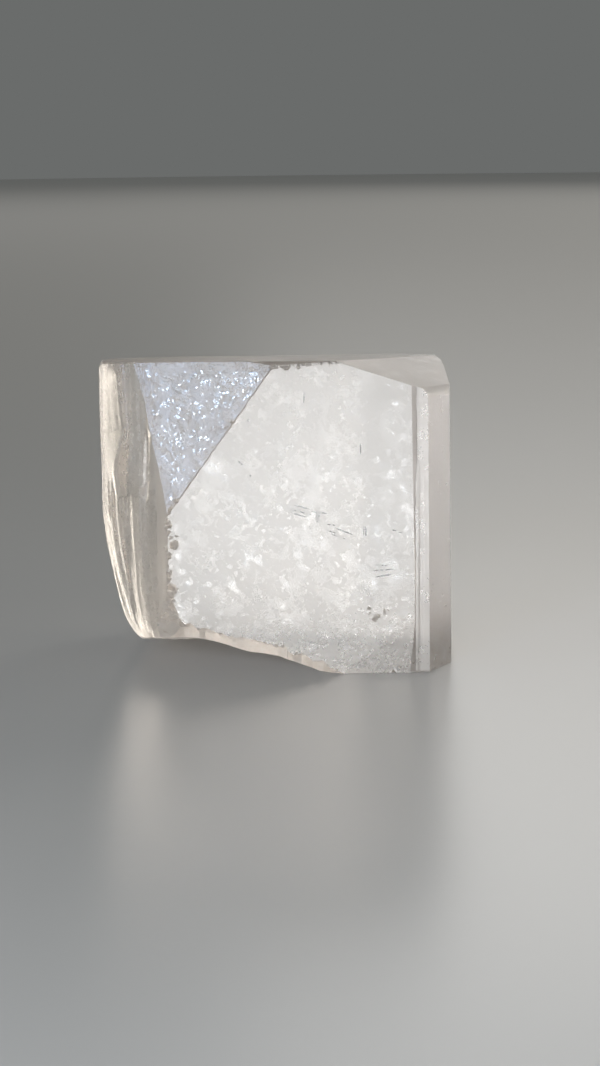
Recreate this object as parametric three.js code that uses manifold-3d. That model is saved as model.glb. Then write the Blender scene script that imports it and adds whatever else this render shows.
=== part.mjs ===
// A natural topaz crystal: an upright, nearly square prism, split flat across its top and
// broken across its foot. It rests on one flat patch of the foot and leans back a little.
//
// The shape is made in the crystal's own frame, in millimetres: X to the right, Y into the
// crystal from its flat front face, Z up its upright edges from the front face's low corner.
// At the end it is leaned back, cut flat where it rests, and set on the ground plane.
import * as THREE from "three";
import { mergeVertices } from "three/addons/utils/BufferGeometryUtils.js";
import Module from "manifold-3d";

// Overall size
const HEIGHT = 24.4;
const FRONT_LEFT_EDGE = -8.4;
const FRONT_RIGHT_EDGE = 10.55;
const LEFT_SIDE = -14.2;
const RIGHT_SIDE = 14.0;
const DEPTH = 18.4;
const LEAN_BACK = 5.5; // degrees

// Growth step beside the front face: a narrow wall, then a strip parallel to the front
const STEP_DEPTH = 0.25;
const STEP_WALL = 0.3;
const STRIP_RIGHT_EDGE = 11.73;
const RIGHT_BEVEL_DEPTH = 3.3;
const RIGHT_BEVEL_INSET = 0.48;

// Upright growth lines on the left of the prism
const LINE_DEPTH = 0.16;
const LINE_WIDTHS = [0.5, 0.9, 0.35, 0.7, 1.1, 0.45];

// Three-cornered face at the top left, tilted away from the front face
const CORNER_FACE_FOOT = 12.5;
const CORNER_FACE_TOP = -0.15;
const CORNER_FACE_DEPTH = 1.95;

// Broken foot, seen under the front face at the left
const UNDERCUT_FALL = 0.13; // fall per millimetre towards the back
const FOOT_BAND_FALL = 1.1; // the narrow band that turns under the front face
const LEFT_BAND_SLANT = 2.6; // the chipped band that turns round the front face's left edge

const TOOL = 80; // a cutting solid's size, larger than the crystal
const MERGE = 1e-4;

const wasm = await Module();
wasm.setup();

function solidFrom(geometry) {
  geometry.deleteAttribute("normal");
  geometry.deleteAttribute("uv");
  const merged = mergeVertices(geometry, MERGE);
  const mesh = new wasm.Mesh({
    numProp: 3,
    vertProperties: new Float32Array(merged.attributes.position.array),
    triVerts: new Uint32Array(merged.index.array),
  });
  return new wasm.Manifold(mesh);
}

function geometryFrom(solid) {
  const mesh = solid.getMesh();
  const geometry = new THREE.BufferGeometry();
  geometry.setAttribute("position", new THREE.BufferAttribute(mesh.vertProperties, 3));
  geometry.setIndex(new THREE.BufferAttribute(mesh.triVerts, 1));
  return geometry;
}

// Everything beyond a plane: the plane holds `point`, and `outward` points off the crystal.
function beyond(point, outward) {
  const side = new THREE.Vector3(...outward).normalize();
  const turn = new THREE.Quaternion().setFromUnitVectors(new THREE.Vector3(0, 0, 1), side);
  const block = new THREE.BoxGeometry(TOOL, TOOL, TOOL);
  block.translate(0, 0, TOOL / 2);
  block.applyQuaternion(turn);
  block.translate(...point);
  return solidFrom(block);
}

// Everything beyond the plane through three points; `outward` only says which side is out.
function beyondThree(a, b, c, outward) {
  const first = new THREE.Vector3(...b).sub(new THREE.Vector3(...a));
  const second = new THREE.Vector3(...c).sub(new THREE.Vector3(...a));
  const normal = first.cross(second);
  if (normal.dot(new THREE.Vector3(...outward)) < 0) {
    normal.negate();
  }
  return beyond(a, normal.toArray());
}

// A profile drawn on the front face, in X and Z, carried through the crystal from front to
// back. Each millimetre towards the back moves it `left` to the left and `down` downwards.
function carriedBack(profile, left, down) {
  const shape = new THREE.Shape(profile.map(([x, z]) => new THREE.Vector2(x, z)));
  const bar = new THREE.ExtrudeGeometry(shape, { depth: 2 * TOOL, bevelEnabled: false });
  bar.translate(0, 0, -TOOL);
  bar.rotateX(Math.PI / 2);
  const slant = new THREE.Matrix4().set(1, -left, 0, 0, 0, 1, 0, 0, 0, -down, 1, 0, 0, 0, 0, 1);
  bar.applyMatrix4(slant);
  return solidFrom(bar);
}

// A wall that carries upright growth lines: shallow steps of uneven width between two corners.
function linedWall(from, to, depth) {
  const start = new THREE.Vector2(...from);
  const along = new THREE.Vector2(...to).sub(start);
  const length = along.length();
  along.normalize();
  const inward = new THREE.Vector2(-along.y, along.x);
  const corners = [];
  let travelled = 0;
  let index = 0;
  while (travelled + LINE_WIDTHS[index % LINE_WIDTHS.length] < length) {
    travelled += LINE_WIDTHS[index % LINE_WIDTHS.length];
    const sunk = index % 2 === 0 ? depth : 0;
    corners.push(start.clone().addScaledVector(along, travelled).addScaledVector(inward, sunk));
    index += 1;
  }
  return corners;
}

// A small broken bite out of an edge.
function bite(x, y, z, size, turn) {
  const stone = new THREE.IcosahedronGeometry(size, 0);
  stone.scale(1, 0.75, 0.9);
  stone.rotateZ(turn);
  stone.rotateX(turn / 2);
  stone.translate(x, y, z);
  return solidFrom(stone);
}

// Plan outline of the prism, anticlockwise from above, starting at the front left edge
const outline = [
  [FRONT_LEFT_EDGE, 0],
  [FRONT_RIGHT_EDGE, 0],
  [FRONT_RIGHT_EDGE + STEP_WALL, STEP_DEPTH],
  [STRIP_RIGHT_EDGE, STEP_DEPTH],
  [RIGHT_SIDE - RIGHT_BEVEL_INSET, RIGHT_BEVEL_DEPTH],
  [RIGHT_SIDE, DEPTH * 0.5],
  [RIGHT_SIDE - 0.35, DEPTH - 3.2],
  [RIGHT_SIDE - 2.6, DEPTH - 0.4],
  [4.1, DEPTH],
  [3.6, DEPTH - 0.3],
  [LEFT_SIDE + 4.7, DEPTH - 0.25],
  [LEFT_SIDE + 0.7, DEPTH - 3.4],
  [LEFT_SIDE, 9.4],
];
const roughLeft = [
  [LEFT_SIDE, 6.6],
  [LEFT_SIDE + 0.5, 4.8],
  [LEFT_SIDE + 1.7, 3.3],
  [FRONT_LEFT_EDGE, 0],
];
const corners = outline.map(([x, y]) => new THREE.Vector2(x, y));
for (let i = 1; i < roughLeft.length; i += 1) {
  corners.push(new THREE.Vector2(...roughLeft[i - 1]));
  corners.push(...linedWall(roughLeft[i - 1], roughLeft[i], LINE_DEPTH));
}
const prism = new THREE.ExtrudeGeometry(new THREE.Shape(corners), {
  depth: HEIGHT + 8,
  bevelEnabled: false,
});
prism.translate(0, 0, -8);
let crystal = solidFrom(prism);

// Faces that close the prism, each as a plane it is cut by
const cuts = [
  // the flat split across the top, and the thin worn bevel along its front edge
  beyond([0, 0, HEIGHT], [0, 0, 1]),
  beyond([0, 0, HEIGHT - 0.65], [0, -0.8, 0.6]),
  // three-cornered face at the top left
  beyondThree(
    [FRONT_LEFT_EDGE, 0, CORNER_FACE_FOOT],
    [CORNER_FACE_TOP, 0, HEIGHT - 0.6],
    [-10.7, CORNER_FACE_DEPTH, HEIGHT - 0.55],
    [-1, -4, 1],
  ),
  // shallow sloping face at the top right, and the rounding of the corner beside it
  beyondThree([4.9, 0, 23.75], [10.9, 0, 22.3], [10.9, 10, 24.5], [0, -1, 1]),
  beyond([12.9, 1.9, 21.65], [0.68, -0.43, 0.59]),
  beyond([13.83, 9.2, 22.3], [0.95, -0.055, 0.29]),
  beyond([13.45, 9.5, 23.55], [0.9, -0.05, 0.43]),
  beyond([13.03, 11, 24.25], [0.6, -0.02, 0.8]),
  // shallow face at the low right corner of the front
  beyondThree([5.6, 0, 0.56], [10.5, 0, 4.1], [10.5, 0.11, 0], [0, -1, 0]),
  // rounded top left corner
  beyond([LEFT_SIDE + 0.07, 7, 23.85], [-0.92, -0.1, 0.38]),
  beyond([LEFT_SIDE + 0.26, 7, 24.12], [-0.71, -0.1, 0.7]),
  beyond([LEFT_SIDE + 0.58, 7, 24.31], [-0.37, -0.1, 0.92]),
  // the left side draws in towards the foot in steps
  beyond([LEFT_SIDE, 8, 13.4], [-0.99, -0.1, -0.1]),
  beyond([-13.75, 8, 10.3], [-0.96, -0.1, -0.22]),
  beyond([-12.75, 8, 5.4], [-0.92, -0.1, -0.32]),
  beyond([-12.2, 8, 3.6], [-0.83, -0.1, -0.5]),
  beyond([-11.3, 8, 2.3], [-0.5, -0.1, -0.8]),
  // back of the foot, hidden from the front
  beyond([0, DEPTH, 2.9], [0.1, 0.75, -0.65]),
  beyond([RIGHT_SIDE, DEPTH - 3, 2.4], [0.7, 0.5, -0.5]),
  // back corners of the top
  beyond([RIGHT_SIDE - 1.2, DEPTH - 1.2, HEIGHT - 0.6], [0.6, 0.55, 0.58]),
  beyond([LEFT_SIDE + 1.8, DEPTH - 2.2, HEIGHT - 1.2], [-0.55, 0.6, 0.58]),
];
for (const cut of cuts) {
  crystal = crystal.subtract(cut);
}

// A second, slightly lower level of the split at the back of the top
const topStep = new THREE.BoxGeometry(TOOL, TOOL, TOOL);
topStep.rotateZ(THREE.MathUtils.degToRad(9));
topStep.translate(-6, DEPTH - 5.6 + TOOL / 2, HEIGHT - 0.28 + TOOL / 2);
crystal = crystal.subtract(solidFrom(topStep));

// Undercut of the foot: its rim climbs to the left, and it falls away towards the back
const rim = [
  [5.3, -0.25],
  [4.2, 0.0],
  [3.2, 0.22],
  [1.65, 0.85],
  [0.1, 1.42],
  [-2.2, 1.85],
  [-4.1, 2.4],
  [-6.1, 2.85],
  [-8.4, 2.95],
  [-12.1, 3.0],
  [-20, 3.8],
  [-20, -20],
  [5.3, -20],
];
crystal = crystal.subtract(carriedBack(rim, 0, UNDERCUT_FALL));

// Broken band under the front face: its jagged upper edge is the front face's lower edge
const jaggedFoot = [
  [5.2, 0.0],
  [4.5, 0.2],
  [3.95, 0.55],
  [3.4, 1.0],
  [2.65, 1.05],
  [2.2, 1.4],
  [1.8, 1.6],
  [1.1, 1.5],
  [0.6, 1.9],
  [0.65, 2.2],
  [-0.05, 2.25],
  [-0.9, 2.45],
  [-1.75, 2.7],
  [-3.6, 2.95],
  [-4.35, 3.2],
  [-5.05, 3.45],
  [-6.1, 3.65],
  [-6.65, 3.95],
  [-7.3, 4.05],
  [-8.0, 3.7],
  [-14, 3.6],
  [-14, -20],
  [5.2, -20],
];
crystal = crystal.subtract(carriedBack(jaggedFoot, 0, FOOT_BAND_FALL));

// Broken band along the front face's left edge
const jaggedLeft = [
  [-8.4, 12.6],
  [-8.45, 11.9],
  [-8.4, 9.4],
  [-8.45, 8.4],
  [-8.3, 7.9],
  [-8.45, 7.25],
  [-8.2, 6.1],
  [-7.95, 5.45],
  [-7.75, 4.65],
  [-7.3, 4.05],
  [-7.3, -20],
  [-30, -20],
  [-30, 12.6],
];
crystal = crystal.subtract(carriedBack(jaggedLeft, LEFT_BAND_SLANT, 0));

// Bites along the edges: left edge, lower left corner, top edge, diagonal edge, side, back
const bites = [
  bite(-8.35, 0.1, 10.5, 0.62, 0.4),
  bite(-8.15, 0.05, 6.75, 0.42, 1.3),
  bite(-8.2, 0.2, 4.7, 0.6, 2.1),
  bite(-8.75, 0.3, 12.2, 0.5, 0.9),
  bite(-3.75, -0.2, 18.9, 0.4, 0.2),
  bite(1.1, -0.1, HEIGHT - 0.4, 0.42, 1.8),
  bite(2.9, -0.1, HEIGHT - 0.35, 0.4, 0.7),
  bite(4.3, -0.15, HEIGHT - 0.4, 0.4, 2.6),
  bite(-9.9, 1.5, 21.9, 0.5, 1.1),
  bite(LEFT_SIDE, 5.6, 19.2, 0.35, 0.5),
  bite(12.2, 0.7, -0.1, 0.5, 0.3),
  bite(8.9, -0.05, -0.05, 0.28, 1.6),
  bite(RIGHT_SIDE - 0.9, DEPTH - 1.9, 13.5, 0.9, 0.8),
  bite(LEFT_SIDE + 2.8, DEPTH - 1.6, 8.5, 1.1, 2.4),
  bite(-2.0, DEPTH + 0.1, HEIGHT - 0.2, 0.8, 1.2),
  bite(7.5, DEPTH, 5.2, 1.0, 0.1),
];
// Shallow pits near the lower right of the front face
const pits = [
  bite(7.2, -0.16, 5.7, 0.24, 0.5),
  bite(7.05, -0.14, 4.9, 0.24, 1.5),
  bite(7.6, -0.18, 4.2, 0.36, 2.5),
  bite(8.35, -0.16, 4.75, 0.3, 0.9),
];
for (const hollow of [...bites, ...pits]) {
  crystal = crystal.subtract(hollow);
}

// Lean it back, cut the flat patch it rests on, and centre it over the origin
const leaned = geometryFrom(crystal);
leaned.rotateX(THREE.MathUtils.degToRad(-LEAN_BACK));
const resting = solidFrom(leaned).subtract(beyond([0, 0, 0], [0, 0, -1]));
const body = geometryFrom(resting).toNonIndexed();
body.computeVertexNormals();
body.computeBoundingBox();
const middle = body.boundingBox.getCenter(new THREE.Vector3());

const topaz = new THREE.Mesh(
  body,
  new THREE.MeshStandardMaterial({ color: 0xd8d4cc, roughness: 0.15, metalness: 0 }),
);
topaz.name = "topaz_crystal";
topaz.position.set(-middle.x, -middle.y, -body.boundingBox.min.z);

const part = new THREE.Group();
part.name = "topaz";
part.add(topaz);

export default part;
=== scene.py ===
# %% [markdown]
# # A natural topaz crystal
#
# The object is one clear topaz crystal, a stout, nearly square prism about as big as a walnut.
# Its front is a flat, finely etched face, its left side is rough and carries upright growth
# lines, its top is split flat, and its foot is broken. Cracks and specks are sealed inside it.
#
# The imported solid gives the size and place. Everything here is built round that frame.

import math

import bpy
from mathutils import Euler, Matrix, Vector, noise


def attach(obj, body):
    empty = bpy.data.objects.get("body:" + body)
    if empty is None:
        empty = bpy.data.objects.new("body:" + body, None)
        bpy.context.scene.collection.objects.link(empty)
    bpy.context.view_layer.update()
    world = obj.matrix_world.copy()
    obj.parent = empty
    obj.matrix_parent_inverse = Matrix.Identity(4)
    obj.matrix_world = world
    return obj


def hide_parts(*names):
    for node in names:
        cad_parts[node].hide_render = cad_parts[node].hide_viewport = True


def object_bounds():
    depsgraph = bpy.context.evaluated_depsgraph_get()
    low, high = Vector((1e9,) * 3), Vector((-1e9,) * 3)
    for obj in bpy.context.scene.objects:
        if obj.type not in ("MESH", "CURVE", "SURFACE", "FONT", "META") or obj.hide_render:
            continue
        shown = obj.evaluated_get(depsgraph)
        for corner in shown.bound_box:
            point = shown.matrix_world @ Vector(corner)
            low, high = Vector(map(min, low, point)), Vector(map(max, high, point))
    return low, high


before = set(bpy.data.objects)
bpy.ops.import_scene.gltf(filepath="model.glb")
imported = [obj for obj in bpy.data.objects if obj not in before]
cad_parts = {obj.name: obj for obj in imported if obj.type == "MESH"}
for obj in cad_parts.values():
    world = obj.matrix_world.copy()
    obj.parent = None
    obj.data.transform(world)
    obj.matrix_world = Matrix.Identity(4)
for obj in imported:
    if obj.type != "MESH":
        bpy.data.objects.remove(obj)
cad_box = [list(corner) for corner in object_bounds()]
MM = 0.001
half_width = cad_box[1][0] / MM
print("solid's box in mm:", [[round(v / MM, 2) for v in corner] for corner in cad_box])

# %% [markdown]
# ## The crystal's own frame
#
# A crystal is easiest to cut in a frame that follows its faces. Here X is to the right, Y goes
# into the crystal from its flat front face, and Z goes up its upright edges, in millimetres.
# When the shape is finished it is leaned back, as it rests, and brought down to metres.

# %% Driving sizes, in millimetres
HEIGHT = 24.4
DEPTH = 18.37
LEFT = -half_width
RIGHT = half_width
FRONT_LEFT = -8.3
FRONT_RIGHT = 10.65
STEP_DEPTH = 0.25
STRIP_RIGHT = 11.83
BEVEL_END = (RIGHT - 0.43, 3.3)
LEAN_BACK = 5.5
# How far the cutting tools reach past the crystal.
SPARE = 3.0


def activate(piece):
    """Deselects everything and makes this piece the only selected and active one."""
    if bpy.context.mode != "OBJECT":
        bpy.ops.object.mode_set(mode="OBJECT")
    bpy.ops.object.select_all(action="DESELECT")
    piece.select_set(True)
    bpy.context.view_layer.objects.active = piece


def say(piece, what):
    """Prints how many faces a piece has at this point."""
    print(f"{what}: {len(piece.data.polygons)} faces")


# %% [markdown]
# ## Flat faces
#
# A crystal's flat faces are planes, so a block is split by one plane after another, as a cutter
# would cleave a stone. Bisect with fill and clear outer does this: it keeps one side and closes
# the cut. Each plane is a point it passes through and the direction that faces off the stone.

# %% Split a block by the crystal's flat faces
bpy.ops.mesh.primitive_cube_add(size=1)
stone = bpy.context.object
stone.name = "topaz_stone"
stone.scale = (RIGHT - LEFT + SPARE, DEPTH, HEIGHT + 2 * SPARE)
stone.location = (0, DEPTH / 2, HEIGHT / 2 - SPARE / 2)
bpy.ops.object.transform_apply(location=True, rotation=True, scale=True)


def plane_of_three(a, b, c, outward):
    """The plane through three points, as a point and the direction nearest to outward."""
    normal = (Vector(b) - Vector(a)).cross(Vector(c) - Vector(a)).normalized()
    if normal.dot(Vector(outward)) < 0:
        normal.negate()
    return Vector(a), normal


def upright_plane(a, b):
    """The upright plane from plan point a to plan point b; its outer side is on the right."""
    along = Vector((b[0] - a[0], b[1] - a[1], 0))
    return Vector((a[0], a[1], 0)), Vector((along.y, -along.x, 0)).normalized()


def rounded(first, second, radius, cuts):
    """Planes that wear the edge between two planes round, to a radius."""
    (on_first, out_first), (on_second, out_second) = first, second
    rows = Matrix((out_first, out_second, out_first.cross(out_second)))
    reach = Vector((out_first.dot(on_first) - radius, out_second.dot(on_second) - radius, 0))
    axis = rows.inverted() @ reach
    outs = [out_first.slerp(out_second, (k + 1) / (cuts + 1)) for k in range(cuts)]
    return {f"worn corner {k}": (axis + out * radius, out) for k, out in enumerate(outs)}


corner_face = plane_of_three(
    (FRONT_LEFT, 0, 12.5), (-0.05, 0, 23.8), (-10.6, 1.95, HEIGHT - 0.55), (-1, -4, 1)
)
low_corner = plane_of_three((5.7, 0, 0.56), (10.6, 0, 4.1), (10.6, 0.06, 0), (0, -1, 0))
roof_face = plane_of_three((5.0, 0, 24.05), (10.8, 0, 22.15), (11.0, 10, 24.4), (0, -1, 1))
worn_edge = plane_of_three((0, 0, 23.85), (4.5, 0, 24.1), (0, 0.5, 24.4), (0, -1, 1))
right_bevel = upright_plane((STRIP_RIGHT, STEP_DEPTH), BEVEL_END)
flat_faces = {
    "top split": (Vector((0, DEPTH, HEIGHT)), Vector((0, -0.0125, 1))),
    "worn top edge": worn_edge,
    "three-cornered face": corner_face,
    "sloping face": roof_face,
    "low corner": low_corner,
    "corner": (Vector((13.97, 9.2, 22.4)), Vector((0.95, -0.055, 0.29))),
    "corner, upper": (Vector((13.6, 9.5, 23.6)), Vector((0.9, -0.05, 0.43))),
    "corner tip": (Vector((13.18, 11, 24.25)), Vector((0.6, -0.02, 0.8))),
    "left tip": (Vector((LEFT + 0.17, 7, 23.85)), Vector((-0.92, -0.1, 0.38))),
    "left tip, upper": (Vector((LEFT + 0.36, 7, 24.12)), Vector((-0.71, -0.1, 0.7))),
    "left tip, top": (Vector((LEFT + 0.68, 7, 24.31)), Vector((-0.37, -0.1, 0.92))),
    "right bevel": right_bevel,
    "right, front half": upright_plane(BEVEL_END, (RIGHT, DEPTH * 0.5)),
    "right, back half": upright_plane((RIGHT, DEPTH * 0.5), (RIGHT - 0.35, DEPTH - 3.2)),
    "back right bevel": upright_plane((RIGHT - 0.35, DEPTH - 3.2), (RIGHT - 2.6, DEPTH - 0.4)),
    "back right": upright_plane((RIGHT - 2.6, DEPTH - 0.4), (4.2, DEPTH)),
    "back left": upright_plane((-9, DEPTH - 0.25), (LEFT + 0.7, DEPTH - 3.4)),
    "under the back": (Vector((0, DEPTH, 2.9)), Vector((0.1, 0.75, -0.65))),
    "under the corner": (Vector((RIGHT, DEPTH - 3, 2.4)), Vector((0.7, 0.5, -0.5))),
    "back right top": (Vector((12.65, DEPTH - 1.2, HEIGHT - 0.6)), Vector((0.6, 0.55, 0.58))),
    "back left top": (Vector((-12.05, DEPTH - 2.2, HEIGHT - 1.2)), Vector((-0.55, 0.6, 0.58))),
}
flat_faces.update(rounded(roof_face, right_bevel, radius=0.9, cuts=7))
# Rows of corners round the foot, so that dirt marked on corners can thicken towards it.
DIRT_ROWS = (1.5, 3.0, 4.5, 6.0, 8.0)
activate(stone)
bpy.ops.object.mode_set(mode="EDIT")
for through, outward in flat_faces.values():
    bpy.ops.mesh.select_all(action="SELECT")
    bpy.ops.mesh.bisect(
        plane_co=through, plane_no=outward.normalized(), use_fill=True, clear_outer=True, threshold=1e-5
    )
for height in DIRT_ROWS:
    bpy.ops.mesh.select_all(action="SELECT")
    bpy.ops.mesh.bisect(plane_co=(0, 0, height), plane_no=(0, 0, 1))
bpy.ops.mesh.select_all(action="SELECT")
bpy.ops.mesh.normals_make_consistent(inside=False)
bpy.ops.object.mode_set(mode="OBJECT")
say(stone, "stone split by its flat faces")

# %% [markdown]
# ## Cutting with rough tools
#
# Rough faces are not planes, so they can't be split by one. Each is made as a sheet first: a
# grid whose corners are moved to the rough surface, pulled out into a thick slab, and taken
# away from the stone. What is left has the sheet's relief printed on it, and its border with a
# flat face comes out ragged by itself, as it does on a real broken crystal.

# %% Helpers for rough tools
def grid_slab(name, across, along, place, pull):
    """A slab to cut with: a grid of across by along squares, each corner moved to
    place(s, t) with s and t from 0 to 1, then pulled out by a vector to give it a body."""
    bpy.ops.mesh.primitive_grid_add(x_subdivisions=across, y_subdivisions=along, size=1)
    slab = bpy.context.object
    slab.name = name
    for corner in slab.data.vertices:
        corner.co = place(corner.co.x + 0.5, corner.co.y + 0.5)
    bpy.ops.object.mode_set(mode="EDIT")
    bpy.ops.mesh.select_all(action="SELECT")
    bpy.ops.mesh.extrude_region_move(TRANSFORM_OT_translate={"value": pull})
    bpy.ops.mesh.select_all(action="SELECT")
    bpy.ops.mesh.normals_make_consistent(inside=False)
    bpy.ops.object.mode_set(mode="OBJECT")
    return slab


def take_away(piece, tool):
    """Cuts the tool's shape out of the piece and throws the tool away."""
    made_by = tool.name
    activate(piece)
    cut = piece.modifiers.new("cut", "BOOLEAN")
    cut.operation = "DIFFERENCE"
    cut.solver = "MANIFOLD"
    cut.object = tool
    bpy.ops.object.modifier_apply(modifier=cut.name)
    bpy.data.objects.remove(tool, do_unlink=True)
    say(piece, "after the " + made_by)


def between(points, at):
    """Height of a line through (place, height) points, straight between neighbours."""
    if at <= points[0][0]:
        return points[0][1]
    for (a, low), (b, high) in zip(points, points[1:]):
        if at <= b:
            return low + (high - low) * (at - a) / (b - a)
    return points[-1][1]


def unit(value):
    """A value kept between 0 and 1."""
    return min(1.0, max(0.0, value))


def rough(x, y, z, size):
    """Smooth noise from -1 to 1 whose lumps are about size millimetres across."""
    return noise.noise(Vector((x, y, z)) / size)


# %% [markdown]
# ## The growth step on the right
#
# Beside the front face the crystal steps back a little: a narrow wall, then a strip parallel
# to the front. The strip carries a few finer steps of its own, so its cutting slab is a sheet
# whose depth changes in small treads across it.

# %% Cut the growth step
STRIP_TREADS = [(0.0, 0.0), (0.25, 0.0), (0.32, 0.012), (0.6, 0.012), (0.66, 0.0), (1.0, 0.0)]
# How the step's upper edge and its foot run: height, then place from left to right.
STEP_EDGE = [(0, 10.2), (1, 10.3), (2.6, 10.55), (4, 10.68), (8, 10.7), (12, 10.65), (22, 10.56)]
STEP_FOOT = [(0, 10.7), (8, 10.76), (12, 10.79), (15, 10.82), (17, 10.93), (22, 10.92)]
# The treads fade out above this height, over this span.
TREADS_UP_TO, TREADS_FADE = 14, 3
FINE_TREAD = 0.006


def step_place(s, t):
    z = -2 * SPARE + t * (HEIGHT + 4 * SPARE)
    edge, foot = between(STEP_EDGE, z), between(STEP_FOOT, z)
    x = edge + s * (RIGHT - edge)
    wall = min(1.0, (x - edge) / (foot - edge))
    tread = between(STRIP_TREADS, x - foot) if wall == 1.0 else 0
    fade = 0.5 - 0.5 * math.tanh((z - TREADS_UP_TO) / TREADS_FADE)
    fine = FINE_TREAD * rough(x, 0, z * 0.03, 0.17) * fade
    return Vector((x, wall * STEP_DEPTH + tread * fade + fine * wall, z))


take_away(stone, grid_slab("step tool", 90, 160, step_place, (0, -SPARE, 0)))

# %% [markdown]
# ## The rough left side
#
# The left of the prism never grew flat. Seen from above it is a soft curve, and it carries
# upright growth lines: long, uneven ridges a few tenths of a millimetre deep. The sheet for it
# follows that curve, drawn in towards the foot, and its ridges are noise stretched upwards.

# %% Cut the rough left side
# The side seen from above, from front to back, as it is low down.
LEFT_PLAN_LOW = [
    (-5.85, -2.0), (FRONT_LEFT, 0.0), (-9.7, 1.13), (-10.9, 2.1), (-12.4, 3.35), (LEFT + 0.5, 4.8),
    (LEFT, 6.6), (LEFT, 9.4), (LEFT + 0.7, DEPTH - 3.4), (LEFT + 1.9, DEPTH + 3.0),
]
# How the arris near the top runs: height, then place from left to right.
ARRIS = [
    (15.5, -13.1), (16.5, -12.8), (17.3, -12.4), (18.2, -12.2), (18.9, -11.95), (19.7, -12.05),
    (20.9, -12.2), (23.2, -12.4), (24.2, -12.7),
]
# Which corner of the plan moves out to it, and how steeply the plan runs there.
ARRIS_CORNER = 4
ARRIS_SLOPE = 0.4
# How far along the side each corner of the plan is.
LEFT_LENGTHS = [0.0]
for (ax, ay), (bx, by) in zip(LEFT_PLAN_LOW, LEFT_PLAN_LOW[1:]):
    LEFT_LENGTHS.append(LEFT_LENGTHS[-1] + math.hypot(bx - ax, by - ay))
# How far along the side a corner is softened.
SOFTEN = 0.35
# How far the side is drawn in: height, then millimetres.
SIDE_DRAWN_IN = [
    (1.5, 4.2), (1.85, 3.5), (2.05, 3.0), (2.5, 2.55), (3.2, 2.1), (4.0, 1.72), (5.2, 1.4),
    (6.5, 1.13), (8.7, 0.7), (9.7, 0.48), (10.9, 0.27), (12.4, 0.07), (14.0, 0.0),
]


def plan_at(z):
    """The side's plan at a height. Near the top one corner moves out and leaves an arris."""
    upper = unit((z - 13.5) / 4.0)
    plan = list(LEFT_PLAN_LOW)
    (bx, by), (x, y) = plan[ARRIS_CORNER - 1], plan[ARRIS_CORNER]
    arris = between(ARRIS, z)
    out = Vector((arris, by + ARRIS_SLOPE * (bx - arris)))
    plan[ARRIS_CORNER] = Vector((x, y)).lerp(out, upper)
    return plan


def left_plan(at, plan):
    """A point of a plan, at a distance along the side, with its corners softened."""
    x = y = 0.0
    for shift in (-SOFTEN, 0.0, SOFTEN):
        x += between(list(zip(LEFT_LENGTHS, (p[0] for p in plan))), at + shift) / 3
        y += between(list(zip(LEFT_LENGTHS, (p[1] for p in plan))), at + shift) / 3
    return x, y


BROAD_LINES, MEDIUM_LINES, FINE_LINES = 0.12, 0.06, 0.02


def growth_lines(at, z):
    """Depth of the growth lines: broad ridges, and finer and finer ones on them. Beyond the
    arris they are calmer, near the top."""
    drift = 0.3 * rough(0, 4, z, 6)
    broad = rough(at, 1.7, z * 0.06, 1.1)
    medium = rough(at + drift, 7.1, z * 0.03, 0.42)
    fine = rough(at + drift, 11.3, z * 0.02, 0.2)
    past_arris = unit((at - LEFT_LENGTHS[ARRIS_CORNER] - 0.2) / 0.4)
    calm = 1 - 0.8 * past_arris * unit((z - 15) / 2)
    return (BROAD_LINES * broad + MEDIUM_LINES * medium + FINE_LINES * fine) * calm


# Long shallow hollows: where across the side, its half width, foot, top and depth.
HOLLOWS = [
    (5.1, 0.32, 13.6, 19.0, 0.24),
    (7.2, 0.7, 3.0, 14.0, 0.16),
    (9.7, 0.6, 2.0, 12.0, 0.2),
]


def hollows(at, z):
    """Depth of the long hollows at a place on the side."""
    depth = 0.0
    for middle, half, foot, top, deep in HOLLOWS:
        across = max(0.0, 1 - ((at - middle) / half) ** 2)
        up = max(0.0, 1 - (2 * (z - foot) / (top - foot) - 1) ** 2) ** 0.5
        depth += deep * across * up
    return depth


def left_place(s, t):
    at = s * LEFT_LENGTHS[-1]
    z = -SPARE + t * (HEIGHT + 2 * SPARE)
    plan = plan_at(z)
    x, y = left_plan(at, plan)
    next_x, next_y = left_plan(at + 0.05, plan)
    inward = Vector((next_y - y, x - next_x, 0)).normalized()
    reach = unit((FRONT_LEFT - x) / 5.5)
    drawn = between(SIDE_DRAWN_IN, z) * reach
    away = unit((FRONT_LEFT - x) / 3)
    swell = 0.1 * rough(at, 3, z, 6.0)
    depth = growth_lines(at, z) * (0.3 + 0.7 * away) + (0.1 + swell) * away
    depth += hollows(at + 0.08 * (z - 20), z)
    return Vector((max(x, LEFT) + drawn, y, z)) + inward * depth


take_away(stone, grid_slab("left tool", 380, 110, left_place, (-8, 0, 0)))

# %% [markdown]
# ## The hilly back
#
# The back has grown flat but not smooth. Low hills and hollows, a few hundredths of a
# millimetre high, cover it, and they are what breaks up the view through the stone.

# %% Cut the hilly back
BACK_LEFT = -12.6
BACK_RIGHT = 11.6
BACK_SUNK = 0.16
# Each kind of hill: its height, its row in the noise, and its width.
HILLS = [(0.05, 21, 3.1), (0.035, 25, 1.0), (0.016, 29, 0.45)]


def back_place(s, t):
    x = BACK_LEFT + s * (BACK_RIGHT - BACK_LEFT)
    z = -SPARE + t * (HEIGHT + 2 * SPARE)
    hills = sum(high * rough(x, row, z, wide) for high, row, wide in HILLS)
    # Near its upright edges the sheet rises out of the stone.
    edge = min(s, 1 - s)
    return Vector((x, DEPTH - BACK_SUNK + hills + 0.5 * max(0.0, 0.1 - edge), z))


take_away(stone, grid_slab("back tool", 170, 190, back_place, (0, 5, 0)))

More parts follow.
